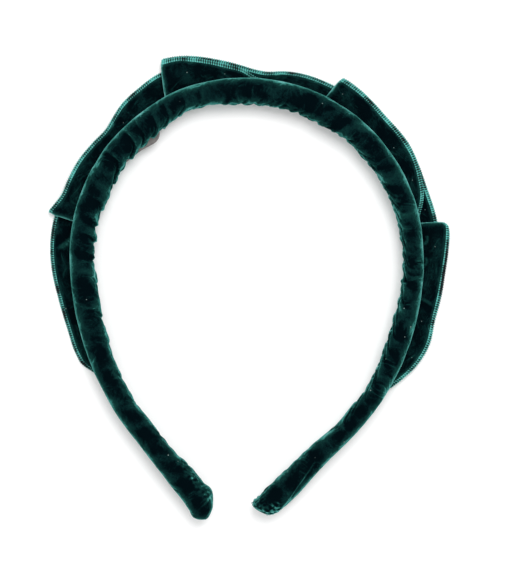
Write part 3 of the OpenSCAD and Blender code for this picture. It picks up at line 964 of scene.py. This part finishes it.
for side in (LEFT, RIGHT):
    cover = hollow_tube("velvet_cover_" + WORD[side], side, tube_rings(side, 0, 0, cover_relief),
                        tube_rings(side, COVER_T, COVER_T, lining_relief), [cover_velvet])
    band_layer(cover, side, "cover")
    core = STRIP_HALF_T + LAYER_GAP, STRIP_HALF_W + LAYER_GAP
    pad_in = COVER_T + LAYER_GAP
    pad = hollow_tube("wadding_" + WORD[side], side,
                      tube_rings(side, pad_in, pad_in, lining_relief),
                      tube_rings(side, 0, STRIP_SHORT - LAYER_GAP, strip=core), [wadding])
    band_layer(pad, side, "padding")
    bar = solid_tube("flex_strip_" + WORD[side],
                     tube_rings(side, 0, STRIP_SHORT, strip=(STRIP_HALF_T, STRIP_HALF_W)),
                     side, plastic)
    band_layer(bar, side, "strip")

# Each length: its name, its rings, how worn its corner is, where its edge is darker, its side,
# and the CAD nodes that it stands for.
ribbon_parts = [
    ("velvet_ribbon_start", ribbon_run(START_EDGE, (-135.5, -49), (-135.5, -49),
                                       level(LOW_Z), level(0)), 0,
     [(-140, -76, WOVEN_W, 0.45)], LEFT, ["ribbon_start"]),
    ("velvet_ribbon_1", loop(LOOP_1_FRONT, LOOP_1_BACK, (-79.8, -81.5), 3, -47,
                             climb(FRONT_Z, LOW_Z, -52, -34), level(BACK_Z)),
     0.1, [], LEFT, ["ribbon_loop_1", "ribbon_run_1"]),
    ("velvet_ribbon_2", loop(LOOP_2_FRONT, LOOP_2_BACK, (-23.8, -28.4), 5, 79,
                             level(FRONT_Z), climb(BACK_Z, LOW_Z, 8, 24)),
     0.2, [(-6, 34, WOVEN_W, 0.2)], RIGHT, ["ribbon_loop_2", "ribbon_run_2"]),
    ("velvet_ribbon_3", loop(LOOP_3_FRONT, LOOP_3_BACK, (30.2, 27.2), 80, 137,
                             level(FRONT_Z), climb(BACK_Z, LOW_Z, 70, 82)),
     0.3, [(20, 74, WOVEN_W, 0.2)], RIGHT, ["ribbon_loop_3", "ribbon_loop_3_end", "ribbon_run_3"]),
    ("velvet_ribbon_4", loop(LOOP_4_FRONT, LOOP_4_BACK, (84.4, 82.6), 141, 138,
                             level(FRONT_Z), level(BACK_Z)), 0.9,
     [(90, 108, 0.7, 1.6)], RIGHT, ["ribbon_loop_4"]),
]
for name, rings, corner, dim, side, nodes in ribbon_parts:
    ribbon, length = ribbon_sheet(name, rings, [ribbon_velvet, ribbed_edge], corner, dim)
    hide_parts(*nodes)
    bend_with(ribbon)

# The tab: grey tape, folded along its length, with its two edges sewn into the cover.
TAB_EDGE = [(-54, -4.5), (-50, -5.2), (-46, -5.9), (-43, -6.6), (-40.2, -7.0), (-38.2, -6.4),
            (-37, -5.4), (-36.3, -4.4)]
TAB_ROOT = -1.8
TAB_Z, TAB_DROOP, TAB_OPEN = 7.6, 0.9, 0.42
TAB_TAPE_W = 10.0
TAB_HALF_T = 0.14

along = np.linspace(TAB_EDGE[0][0], TAB_EDGE[-1][0], 60)[:, None]
turn = np.linspace(-1, 1, 25)[None, :]
out = 1 - turn ** 4
d = TAB_ROOT + (reach(TAB_EDGE, along) - TAB_ROOT) * out
gap = np.where(turn < 0, 1, -1) * TAB_OPEN * np.sqrt(1 - out ** 2)
z = TAB_Z - TAB_DROOP * out ** 2 + gap + 0.15 * np.sin(along * 0.9)
cloth = np.stack(np.broadcast_arrays(along, turn * TAB_TAPE_W / 2, 0.0), axis=-1)
tab = thick_sheet("folded_tape_tab", band_points(along, d, z), TAB_HALF_T, cloth, [tape],
                  np.zeros((len(along) - 1) * (turn.size - 1), int), np.zeros(d.shape))
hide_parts("inner_tab")
bend_with(tab)

# ---------------------------------------------------------------- threads

THREAD_R = 0.15
THREAD_SIDES = 8


def threads(name, paths, radius, material):
    """Round threads along short paths, which taper at both ends."""
    points, faces, cloth = [], [], []
    around = np.linspace(0, 2 * math.pi, THREAD_SIDES, endpoint=False)[None, :, None]
    for path in paths:
        path = np.asarray(path, float)
        rough = np.linspace(0, 1, len(path))
        fine = np.linspace(0, 1, 6 * len(path))
        line = np.stack([reach(np.stack([rough, axis], axis=-1), fine) for axis in path.T],
                        axis=-1)
        heading = np.gradient(line, axis=0)
        heading /= np.linalg.norm(heading, axis=1, keepdims=True)
        side = np.cross(heading, (0.3, 0.4, 0.87))
        side /= np.linalg.norm(side, axis=1, keepdims=True)
        other = np.cross(heading, side)
        size = radius * np.clip(np.minimum(fine, 1 - fine) * 12, 0.25, 1)[:, None, None]
        spoke = np.cos(around) * side[:, None] + np.sin(around) * other[:, None]
        ring = line[:, None] + size * spoke
        start = sum(len(part) for part in points)
        body = grid_faces(len(line), THREAD_SIDES, False, True) + start
        stop = start + len(line) * THREAD_SIDES
        ends = [list(range(start, start + THREAD_SIDES))[::-1],
                list(range(stop - THREAD_SIDES, stop))]
        points.append(ring.reshape(-1, 3))
        cloth.append(ring.reshape(-1, 3))
        faces += body.tolist() + ends
    return piece(name, np.concatenate(points) * MM, faces, np.concatenate(cloth), [material])


def tack(at, rng):
    """Four stitches side by side, from the cover's lower corner down through the gather and
    back under it."""
    down = [(3.0, BAND_LOW + 0.9), (3.7, BAND_LOW + 0.5), (4.1, BAND_LOW), (4.15, 2.2), (4.1, 1.0),
            (3.8, 0.3), (2.8, 0.22), (1.9, 0.4)]
    paths = []
    for offset in (-1.35, -0.45, 0.45, 1.35):
        slant = rng.uniform(-0.5, 0.5)
        places = [(at + offset + slant * i / len(down), d + rng.uniform(-0.06, 0.06), z)
                  for i, (d, z) in enumerate(down)]
        s, d, z = np.array(places).T
        paths.append(band_points(s, d, z) / MM)
    return paths


stitch_rng = np.random.default_rng(5)
for name, side, node, places in (("stitches_left", LEFT, "tacks_left", (-132, -49)),
                                 ("stitches_crown", RIGHT, "tacks_crown", (5,)),
                                 ("stitches_right", RIGHT, "tacks_right", (80, 138))):
    paths = [path for at in places for path in tack(at, stitch_rng)]
    stitches = threads(name, paths, THREAD_R, thread)
    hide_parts(node)
    bend_with(stitches)

# Loose threads at the two tips, where the velvet's cut end shows: s, d, count, spread.
FRAYED = {LEFT: [(-194.3, -4.6, 4, 0.3), (-199.2, 0.6, 5, 0.7)],
          RIGHT: [(200.6, 2.9, 12, 0.5), (203.2, 1.0, 8, 0.6), (204.4, -3.2, 6, 0.5)]}
FRAY_R = 0.11
FRAY_Z = {LEFT: 9.6, RIGHT: 10.2}


def loose_threads(side, rng):
    paths = []
    for at, out, count, spread in FRAYED[side]:
        for _ in range(count):
            s, d = at + rng.normal() * spread * 0.6, out + rng.normal() * spread
            z = FRAY_Z[side] + rng.uniform(-1.2, 0.8)
            turn = rng.uniform(0, 2 * math.pi)
            steps = np.arange(5)[:, None]
            bends = np.cumsum(rng.normal(size=(5, 1)) * 0.5, axis=0)
            step = rng.uniform(0.15, 0.36)
            line = np.concatenate([s + steps * step * np.cos(turn + bends),
                                   d + steps * step * np.sin(turn + bends),
                                   z + 0.25 * np.sin(steps * 1.1 + turn)], axis=1)
            paths.append(band_points(*line.T) / MM)
    return paths


frayed = thread_material("frayed_pile", (0.008, 0.055, 0.05), (0.05, 0.22, 0.2))
fray_rng = np.random.default_rng(9)
for side in (LEFT, RIGHT):
    fray = threads("frayed_threads_" + WORD[side], loose_threads(side, fray_rng), FRAY_R, frayed)
    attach(fray, ARM[side])

# ---------------------------------------------------------------- stage

FLOOR_HALF = 2.0
STUDIO_LIGHT = 1.02                       # the white surroundings, which all but hide the shadow

floor_mesh = bpy.data.meshes.new("floor")
floor_mesh.from_pydata([(x * FLOOR_HALF, y * FLOOR_HALF, 0)
                        for x, y in ((-1, -1), (1, -1), (1, 1), (-1, 1))], [], [(0, 1, 2, 3)])
floor = bpy.data.objects.new("floor", floor_mesh)
bpy.context.scene.collection.objects.link(floor)
floor_material, tree, shader = nodes_of("pale_floor")
shader.inputs["Base Color"].default_value = (0.9, 0.9, 0.9, 1)
shader.inputs["Roughness"].default_value = 0.9
floor_mesh.materials.append(floor_material)

world = bpy.data.worlds.new("studio")
bpy.context.scene.world = world
world.use_nodes = True
world.node_tree.nodes["Background"].inputs["Color"].default_value = (1, 1, 1, 1)
world.node_tree.nodes["Background"].inputs["Strength"].default_value = STUDIO_LIGHT


def area_light(name, place, aim, size, watts):
    data = bpy.data.lights.new(name, "AREA")
    data.size, data.energy = size, watts
    light = bpy.data.objects.new(name, data)
    light.location = place
    light.rotation_euler = (Vector(aim) - Vector(place)).to_track_quat("-Z", "Y").to_euler()
    bpy.context.scene.collection.objects.link(light)
    return light


area_light("key", (0.15, 0.4, 1.2), (0, 0, 0), 0.6, 9)

SENSOR = 36.0
VIEW_HEIGHT = 0.2059                      # what the picture's long side takes in
VIEW_CENTRE = (0.00198, 0.00054)
CAMERA_HEIGHT = 1.0
camera_data = bpy.data.cameras.new("camera")
camera_data.sensor_width = SENSOR
camera_data.lens = SENSOR * (CAMERA_HEIGHT - BAND_Z * MM) / VIEW_HEIGHT
camera_data.clip_end = 10
camera = bpy.data.objects.new("camera", camera_data)
camera.location = (*VIEW_CENTRE, CAMERA_HEIGHT)
bpy.context.scene.collection.objects.link(camera)
bpy.context.scene.camera = camera
bpy.context.scene.view_settings.view_transform = "Standard"
